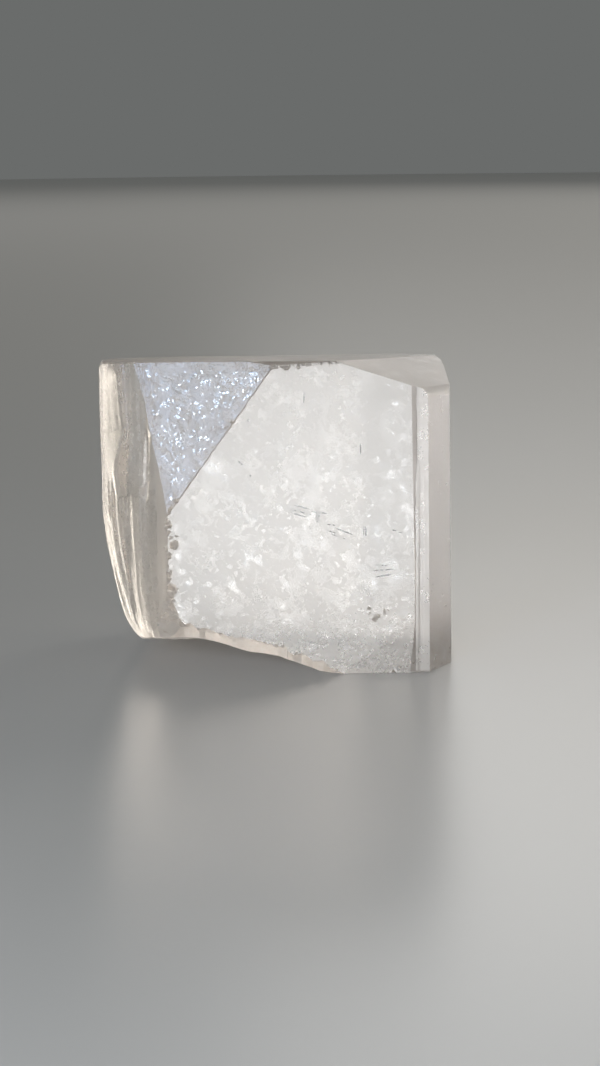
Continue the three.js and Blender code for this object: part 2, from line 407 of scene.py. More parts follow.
# %% [markdown]
# ## The broken foot
#
# The foot was broken, not grown. Under the front face a narrow band turns in steeply, its upper
# edge jagged, and behind its rim the break runs on towards the back at a low slope until it
# meets the ground. One sheet holds both: at each place it is the higher of the two surfaces.

# %% Cut the broken foot
# Place from left to right, then height: where the slope behind the band would meet the front.
FOOT_RIM = [
    (-16, 3.4), (-12, 3.0), (-8.3, 2.95), (-6.0, 2.85), (-4.0, 2.4), (-2.1, 1.85), (0.2, 1.42),
    (1.75, 0.85), (3.3, 0.22), (4.3, 0.0), (5.4, -0.25), (7.0, -SPARE),
]
# The same for the band's jagged upper edge on the front.
FOOT_EDGE = [
    (-14, 3.6), (-7.9, 3.7), (-7.2, 4.05), (-6.57, 3.98), (-6.03, 3.63), (-5.57, 3.7),
    (-4.95, 3.46), (-4.26, 3.21), (-3.49, 2.97), (-2.48, 2.88), (-1.64, 2.71), (-0.79, 2.47),
    (0.06, 2.22), (0.72, 2.2), (0.76, 1.88), (1.21, 1.51), (1.91, 1.65), (2.3, 1.41), (2.76, 1.02),
    (3.53, 1.01), (4.07, 0.53), (4.61, 0.21), (5.3, -0.03), (7.0, -SPARE),
]
# How much the slope and the band fall for each millimetre inwards.
UNDERCUT_FALL = 0.13
FOOT_BAND_FALL = 1.1
FOOT_RIGHT = 8.0


def foot_place(s, t):
    x = LEFT - 0.5 + s * (FOOT_RIGHT - LEFT)
    y = -0.4 + t ** 1.7 * (DEPTH + 1.4)
    jag = (0.1 * rough(x, 5, y, 0.5) + 0.1 * rough(x, 8, y, 0.2)) * max(0.1, 1 - y / 0.35)
    band = between(FOOT_EDGE, x) - FOOT_BAND_FALL * y + jag
    scoops = 0.22 * rough(x, y, 3, 2.6) + 0.07 * rough(x, y, 9, 1.1) + 0.02 * rough(x, y, 5, 0.45)
    calm = unit((6.0 - x) / 2)
    undercut = between(FOOT_RIM, x) - UNDERCUT_FALL * y + scoops * min(1.0, 0.35 + y / 6) * calm
    return Vector((x, y, max(band, undercut)))


take_away(stone, grid_slab("foot tool", 300, 150, foot_place, (0, 0, -12)))

# %% [markdown]
# ## The chipped left edge
#
# Where the front face meets the rough side, the edge has crumbled into small bites. A slanting
# sheet with a jagged line on it takes the edge off in a narrow band. Small bites follow: coarse
# balls pulled out of shape, joined and remeshed into one tool, so that one cut makes them all.

# %% Cut the jagged band along the left edge
# Height, then place from left to right.
LEFT_EDGE = [
    (-SPARE, -7.3), (4.05, -7.25), (4.65, -7.65), (5.45, -7.85), (6.1, -8.15), (7.25, -8.3),
    (8.4, -8.3), (9.5, -8.4), (11.4, -8.4), (12.5, -8.3), (13.2, -9.0), (30.0, -16.0),
]
LEFT_BAND_SLANT = 1.6
LEFT_BAND_DEEP = 2.4
LEFT_BAND_TALL = 18


def left_band_place(s, t):
    y = -0.4 + s * LEFT_BAND_DEEP
    z = -SPARE + t * LEFT_BAND_TALL
    jag = 0.12 * rough(4, y, z, 0.55) + 0.1 * rough(9, y, z, 0.22)
    return Vector((between(LEFT_EDGE, z) - LEFT_BAND_SLANT * y + jag, y, z))


take_away(stone, grid_slab("left band tool", 36, 260, left_band_place, (-7, 0, 0)))

# %% Cut bites out of the edges
def spread(seed):
    """An even-looking number from 0 to 1 that is always the same for one seed."""
    return (math.sin(seed * 12.9898) * 43758.5453) % 1.0


def joined(name, pieces):
    """Joins pieces into one, which takes the name."""
    activate(pieces[0])
    for piece in pieces:
        piece.select_set(True)
    bpy.ops.object.join()
    whole = bpy.context.object
    whole.name = name
    return whole


# Grain of the skin that joins a tool's lumps.
BITE_GRAIN = 0.04


def bites_tool(name, places):
    """One tool of many broken lumps; each place is x, y, z and a size. A lump is a coarse ball,
    turned and flattened by chance, so that its facets leave angular, shallow chips."""
    lumps = []
    for number, (x, y, z, size) in enumerate(places):
        chance = [spread(number * 7 + extra) for extra in range(6)]
        bpy.ops.mesh.primitive_ico_sphere_add(
            subdivisions=1, radius=size, location=(x, y, z), rotation=[6.3 * c for c in chance[:3]]
        )
        lump = bpy.context.object
        lump.scale = (1.2, 0.8 + 0.3 * chance[3], 0.85 + 0.35 * chance[4])
        for corner in lump.data.vertices:
            corner.co *= 0.75 + 0.6 * spread(corner.index * 3.7 + number)
        bpy.ops.object.transform_apply(location=True, rotation=True, scale=True)
        lumps.append(lump)
    tool = joined(name, lumps)
    skin = tool.modifiers.new("one skin", "REMESH")
    skin.mode = "VOXEL"
    skin.voxel_size = BITE_GRAIN
    bpy.ops.object.modifier_apply(modifier=skin.name)
    return tool


# Single bites: x, y, z and size.
edge_bites = [
    (-3.75, -0.12, 19.2, 0.28), (-3.3, -0.1, 19.65, 0.22), (-4.75, -0.06, 17.7, 0.16),
    (-5.7, -0.06, 16.7, 0.18), (-7.6, 0.02, 13.6, 0.2), (LEFT, 5.6, 19.2, 0.35),
    (12.3, 0.7, -0.1, 0.45), (11.3, 0.1, -0.05, 0.3), (9.0, -0.02, -0.02, 0.25),
    (RIGHT - 0.8, DEPTH - 1.9, 13.5, 0.8), (LEFT + 2.9, DEPTH - 1.6, 8.5, 1.0),
    (-2.0, DEPTH + 0.1, HEIGHT - 0.2, 0.7), (7.5, DEPTH, 5.2, 0.8),
    (0.95, 0.02, HEIGHT - 0.75, 0.22), (1.9, 0.04, HEIGHT - 0.7, 0.2), (-7.3, 0.15, 4.0, 0.25),
    (-0.1, 0.05, 2.2, 0.22), (0.45, 0.0, 2.15, 0.16), (1.5, 0.0, 1.6, 0.17),
    (4.6, -0.02, 0.25, 0.18),
]
# Where the edge has crumbled most, small bites sit close together: place and reach of each spot.
CRUMBLED = [
    (-8.1, -0.05, 10.4, 0.6), (-8.45, 0.05, 11.9, 0.4), (-8.1, -0.02, 12.9, 0.3),
    (-8.3, 0.05, 7.85, 0.36), (-7.95, 0.0, 6.7, 0.5), (-8.2, 0.2, 5.1, 0.45), (-7.9, 0.1, 4.5, 0.4),
    (-8.7, 0.7, 4.3, 0.5), (-8.4, 0.0, 9.3, 0.3), (-8.3, 0.0, 11.2, 0.28), (-8.1, 0.0, 6.0, 0.3),
    (-9.6, 1.2, 22.1, 0.4),
]
BITES_IN_SPOT = 12
# Fine bites strung along the left edge, the foot's edge and the top edge.
BITES_ON_LEFT, BITES_ON_FOOT, BITES_ON_TOP = 22, 24, 34
for i, (x, y, z, reach) in enumerate(CRUMBLED):
    for j in range(BITES_IN_SPOT):
        one, two, three, four = (spread(i * 31 + j * 3.1 + extra) - 0.5 for extra in range(4))
        size = reach * (0.42 + 0.3 * four)
        edge_bites.append((x + 1.5 * reach * one, y + 0.5 * reach * two, z + 1.9 * reach * three, size))
for i in range(BITES_ON_LEFT):
    z = 4.0 + 9.0 * (i + spread(i)) / BITES_ON_LEFT
    size = 0.08 + 0.12 * spread(i + 40)
    edge_bites.append((between(LEFT_EDGE, z) - 0.1 - 0.4 * spread(i + 80), 0.12 * spread(i + 9), z, size))
for i in range(BITES_ON_FOOT):
    x = -7.2 + 12.4 * (i + spread(i + 5)) / BITES_ON_FOOT
    size = 0.06 + 0.09 * spread(i + 60)
    edge_bites.append((x, 0.05 * spread(i + 20), between(FOOT_EDGE, x) - 0.05 - 0.2 * spread(i + 70), size))
for i in range(BITES_ON_TOP):
    x = -0.4 + 6.0 * ((i + spread(i + 3)) / BITES_ON_TOP) ** 1.3
    size = 0.07 + 0.09 * spread(i + 50)
    edge_bites.append((x, 0.02, 23.8 + 0.055 * x - 0.1 * spread(i + 33), size))
take_away(stone, bites_tool("edge bites tool", edge_bites))

# %% [markdown]
# ## Seam and pits
#
# A thin worn seam runs along the border between the front face and the three-cornered face,
# and a few shallow pits sit near the lower right of the front. Both are cut, so that light
# bends at them and they show from every side.

# %% Cut the seam and the pits
SEAM_START = Vector((FRONT_LEFT, 0, 12.5))
SEAM_END = Vector((-0.05, 0, 23.8))
SEAM_HALF_WIDTH = 0.06
SEAM_DEPTH = 0.1


def seam_place(s, t):
    along = SEAM_START.lerp(SEAM_END, s * 1.04 - 0.02)
    across = (SEAM_END - SEAM_START).cross(Vector((0, 1, 0))).normalized()
    wander = 0.05 * rough(along.x, 2, along.z, 1.1) + 0.03 * rough(along.x, 6, along.z, 0.3)
    wide = SEAM_HALF_WIDTH * (1 + 0.7 * rough(along.x, 9, along.z, 0.6))
    side = 2 * t - 1
    deep = SEAM_DEPTH * (1 - abs(side)) - 0.03
    return along + across * (wander + side * wide * 1.3) + Vector((0, deep, 0))


take_away(stone, grid_slab("seam tool", 170, 4, seam_place, (0, -1, 0)))
# Each is x, y, z and size.
pits = [
    (7.3, -0.17, 5.75, 0.24), (7.12, -0.12, 5.1, 0.2), (7.2, -0.1, 4.75, 0.16),
    (7.62, -0.15, 4.3, 0.3), (7.8, -0.17, 4.5, 0.28), (8.35, -0.16, 4.8, 0.26),
    (8.6, -0.17, 4.85, 0.25), (9.5, -0.1, 0.5, 0.18), (6.75, -0.36, 0.55, 0.48),
]
take_away(stone, bites_tool("pits tool", pits))

# %% [markdown]
# ## Marking the finishes
#
# One stone, but not one finish: the front is finely etched, the left is silky along its growth
# lines, the foot and the chips are broken and hold a little brown dirt. Each mesh face is marked
# once, while the stone stands upright and its zones are easy to name, and the material reads
# the marks from the mesh.

# %% Mark frost, lines and stain on every face
zones = dict(flat_faces, front=(Vector((0, 0, 0)), Vector((0, -1, 0))))
# How well a mesh face agrees with the flat face it lies on: cosine, millimetres.
SAME_WAY = 0.9999
ON_PLANE = 0.004
SEAM_REACH = 0.16
# The rounded corner at the upper right starts here, and ends at this depth.
CORNER_X, CORNER_Z, CORNER_BACK = 11.4, 20, 17


def distance_to_seam(point):
    """How far a point is from the line of the seam."""
    along = SEAM_END - SEAM_START
    reach = unit((point - SEAM_START).dot(along) / along.length_squared)
    return (point - SEAM_START - along * reach).length


def zone_of(face):
    """The flat face that a mesh face lies on, or the rough zone it is in."""
    place = face.center
    in_corner = place.x > CORNER_X and place.z > CORNER_Z and place.y > STEP_DEPTH + 0.1
    if in_corner and face.normal.dot(right_bevel[1]) < SAME_WAY:
        return "worn corner" if place.y < CORNER_BACK and face.normal.z < 0.999 else "top split"
    for name, (through, outward) in zones.items():
        away = outward.normalized()
        if face.normal.dot(away) > SAME_WAY and abs((place - through).dot(away)) < ON_PLANE:
            return name
    if distance_to_seam(place) < SEAM_REACH:
        return "seam"
    if place.x > between(STEP_EDGE, place.z) - 0.05 and place.y < STEP_DEPTH + 0.06 and face.normal.y < 0:
        return "strip" if place.x > between(STEP_FOOT, place.z) else "groove"
    if place.x > 11.6 and place.z > 20:
        return "sloping face"
    if face.normal.y > 0.9 and place.y > DEPTH - 0.6:
        return "back"
    if face.normal.z < -0.25 and place.z < 6:
        return "foot band" if face.normal.y < -0.35 and place.y < 2.5 else "foot"
    if place.x < FRONT_LEFT - 0.9 and place.y > 0.4 and place.z < HEIGHT - 0.3:
        return "left"
    return "chips"


# Frost, growth lines, stain and etching of each zone.
FINISHES = {
    "front": (0.42, 0.0, 0.0, 0.24),
    "strip": (0.47, 0.3, 0.0, 0.05),
    "groove": (0.5, 0.2, 0.12, 0.3),
    "seam": (0.8, 0.0, 0.4, 0.5),
    "three-cornered face": (0.3, 0.0, 0.0, 0.75),
    "top split": (0.7, 0.0, 0.0, 0.3),
    "sloping face": (0.6, 0.0, 0.06, 0.3),
    "worn corner": (0.6, 0.0, 0.06, 0.3),
    "worn top edge": (0.7, 0.0, 0.2, 0.6),
    "right bevel": (0.5, 0.3, 0.0, 0.4),
    "back": (0.45, 0.0, 0.0, 0.4),
    "foot": (0.7, 0.0, 0.2, 0.6),
    "foot band": (0.8, 0.0, 0.4, 0.6),
    "low corner": (0.42, 0.0, 0.0, 0.24),
    "left": (0.42, 0.85, 0.0, 0.35),
    "chips": (0.85, 0.0, 0.14, 0.5),
}
PLAIN_FINISH = (0.8, 0.5, 0.0, 0.4)
ROUGH_ZONES = ("foot", "foot band", "left", "chips", "seam", "back", "strip", "groove")
# Dirt that thickens towards the foot: from this height down, up to this much stain.
DIRTY_BELOW = {"right bevel": (7.0, 0.5), "left": (9.0, 0.12)}
# Edges that bend less than this, in degrees, look smooth on the rough faces.
SOFT_EDGE = 32


def mark_finishes(piece):
    activate(piece)
    bpy.ops.object.shade_smooth_by_angle(angle=math.radians(SOFT_EDGE))
    marks = piece.data.color_attributes.new("finish", "FLOAT_COLOR", "CORNER")
    count = {}
    for face in piece.data.polygons:
        zone = zone_of(face)
        count[zone] = count.get(zone, 0) + 1
        for corner in face.loop_indices:
            frost, lines, stain, etch = FINISHES.get(zone, PLAIN_FINISH)
            if zone in DIRTY_BELOW:
                height = piece.data.vertices[piece.data.loops[corner].vertex_index].co.z
                start, most = DIRTY_BELOW[zone]
                stain += most * unit(1 - height / start)
            marks.data[corner].color = (frost, lines, stain, etch)
        face.use_smooth = zone in ROUGH_ZONES
    print("faces in each zone:", count)


mark_finishes(stone)

# %% [markdown]
# ## Leaning back
#
# The crystal rests leaned back on its broken foot, so the whole stone is turned and a last plane
# cuts the flat it rests on. Slivers left by the tools are merged away: one closed skin remains.

# %% Lean it back, cut the flat it rests on, and bring it to its place in metres
SLIVER = 0.002


def lean(piece):
    """Turns a piece from the crystal's upright frame to the way the stone leans."""
    activate(piece)
    piece.rotation_euler.x = math.radians(-LEAN_BACK)
    bpy.ops.object.transform_apply(rotation=True)


def bring_home(piece):
    """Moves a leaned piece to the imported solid's place and turns millimetres to metres."""
    activate(piece)
    piece.location.y = cad_box[0][1] / MM
    bpy.ops.object.transform_apply(location=True)
    piece.scale = (MM, MM, MM)
    bpy.ops.object.transform_apply(scale=True)


lean(stone)
bpy.ops.object.mode_set(mode="EDIT")
bpy.ops.mesh.select_all(action="SELECT")
bpy.ops.mesh.bisect(plane_co=(0, 0, 0), plane_no=(0, 0, -1), use_fill=True, clear_outer=True, threshold=1e-5)
bpy.ops.mesh.select_mode(type="FACE")
bpy.ops.mesh.select_all(action="DESELECT")
bpy.ops.mesh.select_face_by_sides(number=4, type="GREATER")
bpy.ops.mesh.quads_convert_to_tris(quad_method="BEAUTY", ngon_method="BEAUTY")
bpy.ops.mesh.select_mode(type="VERT")
bpy.ops.mesh.select_all(action="SELECT")
bpy.ops.mesh.remove_doubles(threshold=SLIVER)
# Merging can leave a crumb of a triangle hanging by one edge: it is the only kind of open edge.
bpy.ops.mesh.select_mode(type="EDGE")
bpy.ops.mesh.select_all(action="DESELECT")
bpy.ops.mesh.select_non_manifold(
    extend=False, use_wire=False, use_multi_face=False, use_non_contiguous=False, use_verts=False
)
bpy.ops.mesh.select_mode(use_expand=True, type="FACE")
bpy.ops.mesh.delete(type="FACE")
bpy.ops.mesh.select_mode(type="VERT")
bpy.ops.mesh.select_all(action="SELECT")
bpy.ops.mesh.normals_make_consistent(inside=False)
bpy.ops.mesh.select_all(action="DESELECT")
bpy.ops.mesh.select_non_manifold()
bpy.ops.object.mode_set(mode="OBJECT")
print("corners on an open or tangled edge:", sum(corner.select for corner in stone.data.vertices))
bring_home(stone)
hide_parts("topaz_crystal")
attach(stone, "root")
say(stone, "finished stone")
print("stone in mm:", [round(v / MM, 2) for v in stone.dimensions])

# %% [markdown]
# ## What is sealed in the stone
#
# Tiny healed cracks glint all over a natural crystal. Each is a thin flake of gas film. They
# are modelled as coarse balls pressed flat, a fraction of a millimetre across, and joined to
# two pieces: the flakes under the front face, and the glints that lie side by side with the
# three-cornered face. The small ones are spread by chance, the large ones are listed one by one.

# %% Helpers for sealed flakes
FACING_FRONT = Matrix.Identity(3)
FLAKE_THICK = 0.02


def flake(x, y, z, wide, tall, thick, turn, tilt, seed, facing=FACING_FRONT):
    """One flake: a coarse ball pressed flat, turned in its own plane and tilted a little."""
    bpy.ops.mesh.primitive_ico_sphere_add(subdivisions=1, radius=0.5, location=(x, y, z))
    piece = bpy.context.object
    for corner in piece.data.vertices:
        corner.co *= 0.65 + 0.7 * spread(seed * 3.3 + corner.index * 1.7)
    piece.scale = (wide, thick, tall)
    piece.rotation_euler = (facing @ Euler((tilt, turn, tilt * 0.7)).to_matrix()).to_euler()
    bpy.ops.object.transform_apply(location=True, rotation=True, scale=True)
    return piece


def sealed(name, pieces):
    """Joins pieces that are sealed in the stone, and brings them to their place."""
    whole = joined(name, pieces)
    lean(whole)
    bring_home(whole)
    bpy.ops.object.shade_flat()
    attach(whole, "root")
    say(whole, name)
    return whole


# %% Small healed flakes under the front and the three-cornered face
FLAKES_IN_FRONT = 170
FLAKES_IN_CORNER = 260
flakes, glints = [], []


def under_corner_face(x, z):
    """Depth of the three-cornered face behind the front plane, at a place seen from the front."""
    through, outward = corner_face
    return through.y - (outward.x * (x - through.x) + outward.z * (z - through.z)) / outward.y


# Flakes under the three-cornered face lie side by side with it.
FACING_CORNER = Vector((0, -1, 0)).rotation_difference(corner_face[1]).to_matrix()


def small_flake(x, deep, z, size, slim, seed, facing=FACING_FRONT):
    """A small flake; its turn and tilt come from its seed."""
    turn, tilt = 6.3 * spread(seed * 5.3), 0.2 * spread(seed * 6.1) - 0.1
    return flake(x, deep, z, size, size * slim, FLAKE_THICK, turn, tilt, seed, facing)


for i in range(FLAKES_IN_FRONT):
    x = FRONT_LEFT + 0.5 + (FRONT_RIGHT - FRONT_LEFT - 1) * spread(i + 0.13)
    z = 2.8 + 20.4 * spread(i * 1.7 + 5)
    # Above the seam there is no front face.
    if (z - SEAM_START.z) > (x - SEAM_START.x) * 1.2 - 0.3:
        continue
    size = 0.12 + 0.3 * spread(i * 3.1 + 2) ** 3
    flakes.append(small_flake(x, 0.3 + 1.2 * spread(i * 2.3 + 1), z, size, 0.35 + 0.65 * spread(i * 4.9), i))
for i in range(FLAKES_IN_CORNER):
    high = spread(i * 1.3 + 7) ** 0.4
    z = SEAM_START.z + (HEIGHT - 0.8 - SEAM_START.z) * high
    right = SEAM_START.x + (SEAM_END.x - SEAM_START.x) * high - 0.35
    left = SEAM_START.x - 2.1 * high + 0.45
    # Near its lower tip the three-cornered face is too narrow.
    if right < left:
        continue
    x = left + (right - left) * spread(i * 2.9 + 3)
    size = 0.14 + 0.26 * spread(i * 3.7 + 4) ** 2
    deep = under_corner_face(x, z) + 0.1 + 0.3 * spread(i * 2.3 + 9)
    glints.append(small_flake(x, deep, z, size, 0.5, i + 500, FACING_CORNER))

# %% [markdown]
# Larger healed cracks are not one flake but a cloud of fragments. Two clouds are made once, a
# dense one and a thin mist, each a millimetre across, and their copies are stretched and turned
# to the places and sizes below.

# %% Clouds of fragments
def cloud_pattern(name, number, size, drawn_in, seed):
    """A disc of fragments, one millimetre across, thicker in the middle, to be copied."""
    parts = []
    for i in range(number):
        turn = 6.3 * spread(seed + i * 1.7)
        out = 0.5 * spread(seed + i * 2.9 + 0.3) ** drawn_in
        grain = size * (0.5 + spread(seed + i * 4.3))
        x, y, z = out * math.cos(turn), 0.3 * spread(i * 3.1 + seed) - 0.15, out * math.sin(turn)
        tilt = 0.14 * spread(seed + i * 5.7) - 0.07
        parts.append(flake(x, y, z, grain, grain * 0.6, FLAKE_THICK, turn, tilt, seed + i))
    return joined(name, parts)


def place_cloud(made, x, deep, z, wide, tall, turn, facing=FACING_FRONT):
    """A copy of a cloud pattern, at its place, width, height and turn in degrees."""
    activate(made)
    bpy.ops.object.duplicate()
    copy = bpy.context.object
    copy.location = (x, deep, z)
    copy.rotation_euler = (facing @ Euler((0, math.radians(turn), 0)).to_matrix()).to_euler()
    copy.scale = (wide, 1, tall)
    bpy.ops.object.transform_apply(location=True, rotation=True, scale=True)
    return copy


dense_cloud = cloud_pattern("dense cloud", 26, 0.2, 0.7, 11.0)
mist = cloud_pattern("mist", 70, 0.045, 0.8, 51.0)
# How deep the clouds lie under their face.
FRONT_CLOUD_DEEP, CORNER_CLOUD_DEEP, MIST_DEEP = 0.55, 0.25, 0.4
# Each is x, z, width, height and turn in degrees. These are under the front face.
LARGE_FLAKES = [
    (-5.0, 16.0, 1.3, 1.0, 20), (-4.5, 15.7, 0.8, 0.5, 30), (-3.9, 15.3, 1.0, 0.6, -20),
    (-2.0, 14.5, 0.6, 0.5, 0), (-2.4, 16.5, 0.5, 0.4, 10), (1.3, 17.4, 0.35, 0.65, 30),
    (4.6, 22.1, 0.7, 0.3, 40), (4.5, 22.0, 0.3, 0.6, -10), (3.7, 22.7, 0.4, 0.3, 0),
    (3.0, 21.1, 0.9, 0.16, 0), (6.3, 21.8, 0.35, 0.5, 10), (6.2, 20.2, 0.5, 0.5, 0),
    (6.9, 19.5, 0.5, 0.35, 20), (9.7, 22.2, 0.6, 0.3, 10), (10.0, 19.3, 0.4, 0.4, 0),
    (8.9, 20.4, 0.4, 0.3, 0), (4.9, 19.6, 0.15, 0.8, 0), (2.3, 19.4, 0.4, 0.4, 0),
    (4.5, 16.6, 0.2, 0.8, 0), (4.5, 15.9, 0.35, 0.3, 0), (3.5, 15.6, 0.45, 0.25, 0),
    (5.8, 15.9, 0.8, 0.4, 20), (3.9, 14.9, 0.35, 0.45, 0), (4.3, 14.1, 0.7, 0.3, -40),
    (8.1, 16.3, 0.4, 0.9, -30), (8.9, 14.1, 0.45, 0.4, 0), (10.1, 14.0, 0.5, 0.5, 0),
    (10.0, 16.7, 0.3, 0.6, 0), (7.5, 13.5, 0.4, 0.6, 0), (5.8, 12.2, 0.8, 0.3, 0),
    (-2.4, 13.0, 0.25, 0.6, -40), (-4.1, 10.7, 0.55, 0.35, 0), (-2.8, 11.1, 0.95, 0.2, 15),
    (-1.9, 9.6, 0.7, 0.6, 0), (-2.3, 9.1, 0.9, 0.5, 10), (-1.1, 8.7, 1.3, 0.26, 32),
    (2.0, 10.4, 0.45, 0.35, 0), (2.9, 10.7, 0.6, 0.2, 0), (2.1, 8.3, 0.5, 0.3, 0),
    (-6.1, 8.3, 0.45, 0.45, 0), (-6.3, 5.6, 0.6, 0.4, 20), (-7.2, 4.7, 0.5, 0.35, 30),
    (-7.6, 5.7, 0.3, 0.6, 10), (1.5, 5.2, 1.4, 0.1, 22), (-2.4, 6.1, 0.9, 0.11, 0),
    (8.1, 12.0, 0.4, 0.3, 0), (7.8, 10.9, 0.7, 1.4, 0), (8.0, 10.0, 0.4, 0.6, 0),
    (10.1, 11.6, 0.35, 1.5, 0), (10.15, 10.6, 0.4, 1.0, 0), (7.7, 9.3, 0.18, 0.95, -25),
    (6.4, 8.0, 1.2, 0.45, 25), (8.7, 8.5, 1.6, 0.3, 0), (9.4, 7.5, 2.3, 0.4, 0),
    (7.7, 6.5, 0.6, 0.4, 0), (8.6, 3.5, 0.9, 0.25, -10), (9.8, 4.6, 1.2, 0.2, -20),
    (3.6, 3.3, 0.9, 0.2, 10), (7.0, 2.9, 0.6, 0.3, 0),
]
# These are under the three-cornered face.
CORNER_FLAKES = [
    (-1.7, 22.8, 0.7, 1.0, 20), (-2.4, 22.7, 0.35, 0.9, -30), (-1.7, 21.9, 0.3, 0.8, 30),
    (-4.3, 21.6, 0.8, 0.6, -30), (-3.8, 20.9, 0.45, 0.5, 0), (-3.2, 21.0, 0.3, 0.5, 0),
    (-5.5, 22.6, 0.35, 0.6, 0), (-6.3, 23.1, 0.7, 0.35, 0), (-3.8, 22.9, 0.3, 0.8, 0),
    (-5.6, 19.2, 0.5, 0.5, 10), (-7.0, 18.5, 0.25, 0.8, 0), (-5.9, 18.3, 0.6, 0.4, 0),
    (-5.0, 18.5, 0.35, 0.6, 15), (-8.0, 18.0, 0.45, 0.5, 0), (-8.1, 18.8, 0.3, 0.95, 0),
    (-4.0, 19.4, 0.3, 0.65, 10), (-5.3, 20.1, 0.25, 0.65, 0), (-8.4, 21.0, 0.5, 0.6, 30),
    (-9.2, 21.7, 0.8, 0.25, 20), (-7.6, 22.3, 0.7, 0.5, 0), (-8.3, 16.5, 0.3, 0.9, -25),
]
# These are thin mists under the front face.
MISTS = [
    (-4.6, 15.8, 3.2, 2.6, 20), (7.8, 10.8, 2.0, 3.2, 0), (9.3, 11.6, 2.4, 3.0, 0),
    (8.6, 8.2, 4.0, 1.8, 0), (-2.2, 9.4, 2.6, 1.8, 20), (-6.4, 12.4, 2.4, 2.0, 30),
    (3.8, 15.4, 3.0, 2.6, 0), (9.3, 15.4, 2.4, 3.2, 0), (6.0, 20.4, 3.0, 2.4, 0),
    (2.6, 20.6, 2.4, 2.2, 0), (-2.9, 12.4, 2.6, 2.0, 0), (2.4, 9.6, 3.0, 2.0, 0),
    (-5.2, 7.0, 3.4, 2.2, 0), (6.2, 5.8, 3.4, 2.4, 0), (1.0, 17.6, 2.2, 2.6, 0),
    (9.2, 19.6, 2.0, 3.0, 0),
]
for x, z, wide, tall, turn in LARGE_FLAKES:
    flakes.append(place_cloud(dense_cloud, x, FRONT_CLOUD_DEEP, z, wide, tall, turn))
for x, z, wide, tall, turn in CORNER_FLAKES:
    deep = under_corner_face(x, z) + CORNER_CLOUD_DEEP
    glints.append(place_cloud(dense_cloud, x, deep, z, wide, tall, turn, FACING_CORNER))
for x, z, wide, tall, turn in MISTS:
    flakes.append(place_cloud(mist, x, MIST_DEEP, z, wide, tall, turn))
for made in (dense_cloud, mist):
    bpy.data.objects.remove(made, do_unlink=True)
healed_flakes = sealed("healed_flakes", flakes)
corner_glints = sealed("corner_glints", glints)

# %% [markdown]
# A few straight, hair-thin dark tubes lie just under the front, most of them side by side.
# They are the same pressed balls, drawn out long.

# %% Short dark needles
NEEDLE_DEEP, NEEDLE_WIDE, NEEDLE_THICK, NEEDLE_SEED = 0.06, 0.11, 0.06, 1500
# Each is x, z, length and turn in degrees.
NEEDLES = [
    (2.0, 13.0, 1.3, 15), (1.8, 12.65, 1.5, 16), (1.9, 12.35, 0.95, 16), (3.3, 12.55, 0.9, 8),
    (3.2, 12.2, 0.75, 92), (3.35, 12.15, 0.5, 88), (4.2, 11.6, 0.5, 8), (4.3, 11.05, 0.75, 18),
    (4.9, 10.65, 1.0, 21), (5.3, 11.05, 1.1, 22), (6.8, 11.0, 0.7, 90), (6.95, 11.0, 0.5, 90),
    (9.1, 11.1, 0.3, 8), (9.6, 10.95, 0.2, 0), (8.1, 8.4, 1.0, 6), (8.4, 8.05, 1.15, -4),
    (8.3, 7.6, 0.85, -10), (2.3, 21.3, 1.0, 94), (-2.0, 19.7, 0.65, 90), (6.6, 17.4, 0.55, 90),
    (-2.6, 16.4, 0.3, 40), (-1.9, 15.45, 0.17, 90),
]
needles = []
for number, (x, z, long, turn) in enumerate(NEEDLES, NEEDLE_SEED):
    turn = math.radians(90 + turn)
    needles.append(flake(x, NEEDLE_DEEP, z, NEEDLE_WIDE, 1.5 * long, NEEDLE_THICK, turn, 0.0, number))
dark_needles = sealed("dark_needles", needles)

# %% [markdown]
# ## Topaz
#
# Topaz is a clear silicate that bends light at 1.62, more than glass does. This one is faintly
# beige in the thick, etched to a fine frost on its faces, and clean inside but for its cracks.
# A Principled shader with full transmission gives the clear body, plain absorption gives the
# tint, and the marks on the mesh steer how frosted and how stained each face is.

# %% Helpers for materials
def linear(hex_colour):
    """An sRGB hex colour as the linear values that Blender's sockets hold."""
    parts = [int(hex_colour[i : i + 2], 16) / 255 for i in (1, 3, 5)]
    return tuple(p / 12.92 if p <= 0.04045 else ((p + 0.055) / 1.055) ** 2.4 for p in parts) + (1.0,)


def new_material(name):
    material = bpy.data.materials.new(name)
    material.use_nodes = True
    material.node_tree.nodes.clear()
    return material, material.node_tree


def add_node(kind, sockets=None, **settings):
    """Adds a node to the tree at hand. Sockets name its inputs: each gets a fixed value, or a
    link from an output."""
    node = tree.nodes.new("ShaderNode" + kind)
    for key, value in settings.items():
        setattr(node, key, value)
    for key, value in (sockets or {}).items():
        if isinstance(value, bpy.types.NodeSocket):
            tree.links.new(value, node.inputs[key])
        else:
            node.inputs[key].default_value = value
    return node


def maths(operation, *values, clamp=False):
    """Numbers or outputs put through one operation."""
    return add_node("Math", dict(enumerate(values)), operation=operation, use_clamp=clamp).outputs[0]


def times(a, b):
    """One number or output times another."""
    return maths("MULTIPLY", a, b)


def spanned(value, low, high, to_low, to_high):
    """Stretches values from low..high to to_low..to_high."""
    sockets = {"Value": value, "From Min": low, "From Max": high, "To Min": to_low, "To Max": to_high}
    return add_node("MapRange", sockets).outputs[0]


def cloud(per_millimetre):
    """Soft noise through a piece, with this many lumps to a millimetre."""
    place = add_node("TexCoord").outputs["Object"]
    return add_node(
        "TexNoise", {"Vector": place, "Scale": per_millimetre / MM, "Detail": 2.0}
    ).outputs["Fac"]


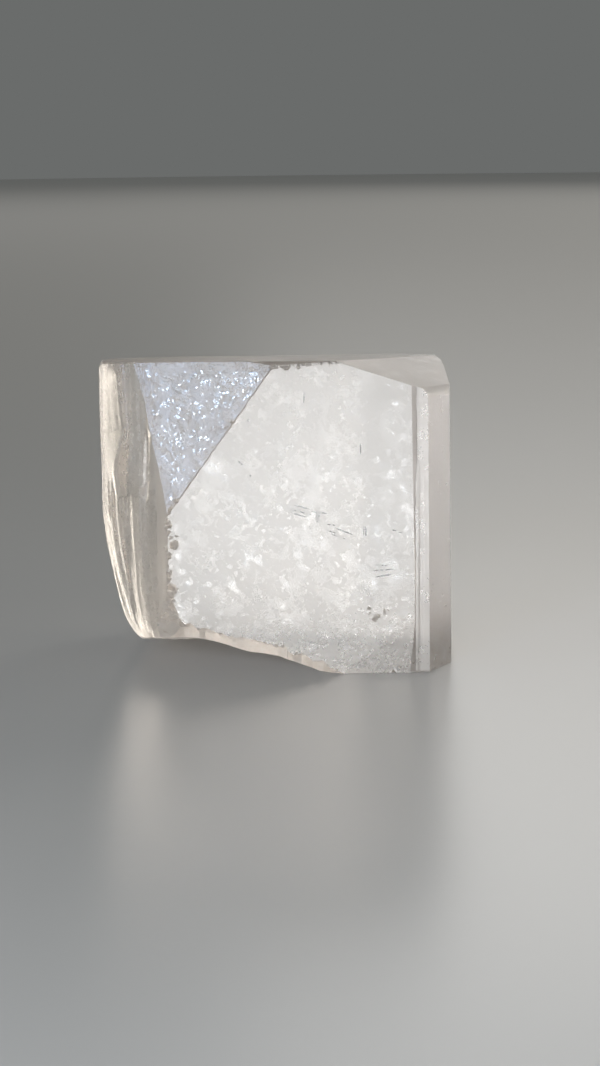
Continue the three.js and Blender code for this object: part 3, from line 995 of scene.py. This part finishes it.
def blend(factor, first, second):
    """The first colour where the factor is 0, the second where it is 1."""
    sockets = {"Factor": factor, 6: linear(first), 7: linear(second)}
    return add_node("Mix", sockets, data_type="RGBA").outputs[2]


def dress(piece, material, **ends):
    """Gives a piece a material, which ends in these links: a surface and maybe a volume."""
    add_node("OutputMaterial", ends)
    piece.data.materials.clear()
    piece.data.materials.append(material)
    print(f"{piece.name} is dressed in {material.name}")


# %% Patterns in the natural topaz
TOPAZ_IOR = 1.62
TINT_PER_METRE = 30.0
# The roughness that a frost mark of 1 stands for.
ROUGHEST = 0.6
# How high the etching and the finest growth lines stand, in millimetres.
ETCH_HIGH, LINES_HIGH = 0.035, 0.05
topaz, tree = new_material("natural_topaz")
place = add_node("TexCoord").outputs["Object"]
marks = add_node("VertexColor", layer_name="finish")
mark = add_node("SeparateColor", {"Color": marks.outputs["Color"]})


def pattern(wide, detail, tall=None, **more):
    """Noise in the crystal's own frame, with grains of this width and height in millimetres."""
    sockets = {
        "Vector": place,
        "Rotation": (math.radians(-LEAN_BACK), 0, 0),
        "Scale": (wide * MM, wide * MM, (tall or wide) * MM),
    }
    turned = add_node("Mapping", sockets, vector_type="TEXTURE")
    sockets = {"Vector": turned.outputs[0], "Scale": 1.0, "Detail": detail}
    return add_node("TexNoise", dict(sockets, **more)).outputs["Fac"]


mottle = pattern(1.4, 5.0, Roughness=0.75)
grain = pattern(0.24, 1.0)
worms = pattern(0.4, 1.0, Distortion=1.2)
patches = pattern(1.1, 2.0)
lines = pattern(0.22, 4.0, tall=9.0)
spots = pattern(0.9, 1.5)
specks = pattern(0.4, 1.0)

# %% [markdown]
# Most of a face is evenly frosted, but it has smoother veins, and here and there a spot that
# shines. Roughness is the frost mark of the face times these patterns.

# %% How frosted the stone is at each place
veined = spanned(mottle, 0.5, 0.68, 1.1, 0.84)
# Faces with growth lines and the rougher faces have no such spots.
lined = spanned(mark.outputs["Green"], 0.0, 0.25, 0.67, 1.0)
rougher = spanned(mark.outputs["Red"], 0.45, 0.55, 0.0, 0.33)
spot = maths("ADD", lined, rougher, clamp=True)
spotted = times(spanned(spots, 0.62, 0.72, 1.0, spot), spanned(specks, 0.64, 0.74, 1.0, spot))
evenness = times(veined, spotted)
roughness = times(times(mark.outputs["Red"], ROUGHEST), evenness)

# %% [markdown]
# Etching is too fine to model, so a bump bends the light: a grain all over, and curly ridges on
# the deeply etched three-cornered face. Another adds the finest growth lines. Shapes need no
# bump: every edge, step, pit and chip is in the mesh.

# %% Etching and the finest growth lines
near_middle = maths("ABSOLUTE", maths("SUBTRACT", worms, 0.5))
ridges = times(spanned(near_middle, 0.0, 0.04, 1.5, 0.0), spanned(patches, 0.4, 0.55, 0.0, 1.0))
deep_only = spanned(marks.outputs["Alpha"], 0.6, 1.0, 0.0, 1.0)
etched = maths("ADD", times(ridges, deep_only), times(grain, 1.1))
etching = {"Strength": marks.outputs["Alpha"], "Distance": ETCH_HIGH * MM, "Height": etched}
grain_bump = add_node("Bump", etching)
growth = {
    "Strength": times(mark.outputs["Green"], 0.6),
    "Distance": LINES_HIGH * MM,
    "Height": lines,
    "Normal": grain_bump.outputs["Normal"],
}
line_bump = add_node("Bump", growth)

# %% The clear, tinted stone
dirt = times(mark.outputs["Blue"], spanned(mottle, 0.35, 0.6, 0.3, 1.0))
clear = {
    "Base Color": blend(dirt, "#FFFFFF", "#9A8268"),
    "IOR": TOPAZ_IOR,
    "Transmission Weight": 1.0,
    "Roughness": roughness,
    "Normal": line_bump.outputs["Normal"],
}
body = add_node("BsdfPrincipled", clear)
tint = add_node("VolumeAbsorption", {"Color": linear("#E6D6C6"), "Density": TINT_PER_METRE})
dress(stone, topaz, Surface=body.outputs["BSDF"], Volume=tint.outputs["Volume"])

# %% [markdown]
# ## Gas films and dark tubes
#
# A gas film in a healed crack sends light back, so the flakes are a pale, half metallic silk.
# Under the three-cornered face the films are clean, so its glints are a bright metal. The
# tubes hold dull, dark matter.

# %% Gas films
film, tree = new_material("healed_gas_film")
pale = blend(cloud(2), "#FFFFFF", "#F4F0E8")
silk = {"Base Color": pale, "Metallic": 0.5, "Roughness": 0.5, "IOR": 1.3}
gloss = add_node("BsdfPrincipled", silk)
dress(healed_flakes, film, Surface=gloss.outputs["BSDF"])

mirror_film, tree = new_material("clean_gas_film")
uneven = spanned(cloud(2), 0.3, 0.7, 0.25, 0.42)
mirror = {"Base Color": linear("#F6F9FC"), "Metallic": 1.0, "Roughness": uneven}
bright = add_node("BsdfPrincipled", mirror)
dress(corner_glints, mirror_film, Surface=bright.outputs["BSDF"])

# %% Dark tubes
tube, tree = new_material("dark_tube_filling")
soot = {"Base Color": blend(cloud(3), "#1E1C1A", "#3A3733"), "Roughness": 0.9}
dull = add_node("BsdfPrincipled", soot)
dress(dark_needles, tube, Surface=dull.outputs["BSDF"])

# %% [markdown]
# ## The stage
#
# The stone lies on a smooth grey sheet. A clear stone shows little but what is around it, so
# soft boxes stand all round: those in front whiten the frosted front, those behind shine
# through the sides, and a cool one lights the three-cornered face.

# %% Floor and world
bpy.ops.mesh.primitive_circle_add(vertices=128, radius=1.2, fill_type="NGON", location=(0, 0, -0.03 * MM))
floor = bpy.context.object
floor.name = "floor"
paint, tree = new_material("floor_paint")
sheet = add_node("BsdfPrincipled", {"Base Color": linear("#BEBDBA"), "Roughness": 0.28})
dress(floor, paint, Surface=sheet.outputs["BSDF"])
world = bpy.data.worlds.new("studio")
world.use_nodes = True
world.node_tree.nodes["Background"].inputs["Color"].default_value = linear("#6A6C6B")
bpy.context.scene.world = world


# %% Soft boxes
MIDDLE_HEIGHT = 0.012


def softbox(name, turn, rise, distance, size, brightness, colour):
    """A rectangular soft light that faces the stone's middle. Turn is its bearing, from straight
    behind towards the left. Brightness is how bright its face looks, white paper being 1."""
    light = bpy.data.lights.new(name, "AREA")
    light.shape = "RECTANGLE"
    light.size, light.size_y = size
    light.energy = brightness * math.pi * size[0] * size[1]
    light.color = linear(colour)[:3]
    lamp = bpy.data.objects.new(name, light)
    turn, rise = math.radians(turn), math.radians(rise)
    flat, up = distance * math.cos(rise), distance * math.sin(rise)
    lamp.location = (-flat * math.sin(turn), flat * math.cos(turn), MIDDLE_HEIGHT + up)
    inward = Vector((0, 0, MIDDLE_HEIGHT)) - lamp.location
    lamp.rotation_euler = inward.to_track_quat("-Z", "Y").to_euler()
    lamp.visible_camera = False
    bpy.context.scene.collection.objects.link(lamp)


# Name, bearing and rise in degrees, distance and size in metres, brightness and colour.
SOFTBOXES = [
    ("front_window", 180, 9.2, 0.20, (0.075, 0.064), 8.8, "#FBFDFF"),
    ("front_window_low", 180, -1.3, 0.20, (0.08, 0.015), 19.5, "#FCFEFF"),
    ("cool_window", 153, 17.6, 0.30, (0.1, 0.085), 7.4, "#C4DCFF"),
    ("front_right", -120, 10, 0.80, (0.4, 0.24), 2.8, "#FFFAF0"),
    ("front_left", 112, 10, 0.80, (0.4, 0.24), 3.8, "#E4F2FF"),
    ("back_right", -78, 10, 0.90, (0.36, 0.27), 5.0, "#FFF0DE"),
    ("behind_right", -50, 10, 0.90, (0.32, 0.27), 4.4, "#FFFAF0"),
    ("behind_left", 35, 10, 0.90, (0.45, 0.27), 1.7, "#FBFAFF"),
    ("behind_high", -9, 19, 1.0, (0.36, 0.22), 2.8, "#FFFBF6"),
    ("high_right", -40, 26, 1.0, (0.45, 0.27), 3.0, "#FFFAF4"),
    ("left_side", 88, 10, 0.90, (0.27, 0.27), 2.4, "#FFF6EC"),
    ("left_behind", 68, 8, 0.90, (0.22, 0.22), 3.4, "#FFF6DC"),
]
for box in SOFTBOXES:
    softbox(*box)
print(len(SOFTBOXES), "soft boxes")

# %% Camera
CAMERA_PLACE = Vector((1.87, -181.7, 43.64)) * MM
# Degrees it looks down and is rolled, and its lens in millimetres.
CAMERA_DOWN = 10.74
CAMERA_ROLL = 0.7
CAMERA_LENS = 76.9
camera = bpy.data.objects.new("camera", bpy.data.cameras.new("camera"))
bpy.context.scene.collection.objects.link(camera)
camera.matrix_world = (
    Matrix.Translation(CAMERA_PLACE)
    @ Matrix.Rotation(math.radians(90 - CAMERA_DOWN), 4, "X")
    @ Matrix.Rotation(math.radians(-CAMERA_ROLL), 4, "Z")
)
camera.data.lens = CAMERA_LENS
camera.data.clip_start = 0.01
camera.data.clip_end = 5
bpy.context.scene.camera = camera
bpy.context.scene.view_settings.view_transform = "Standard"
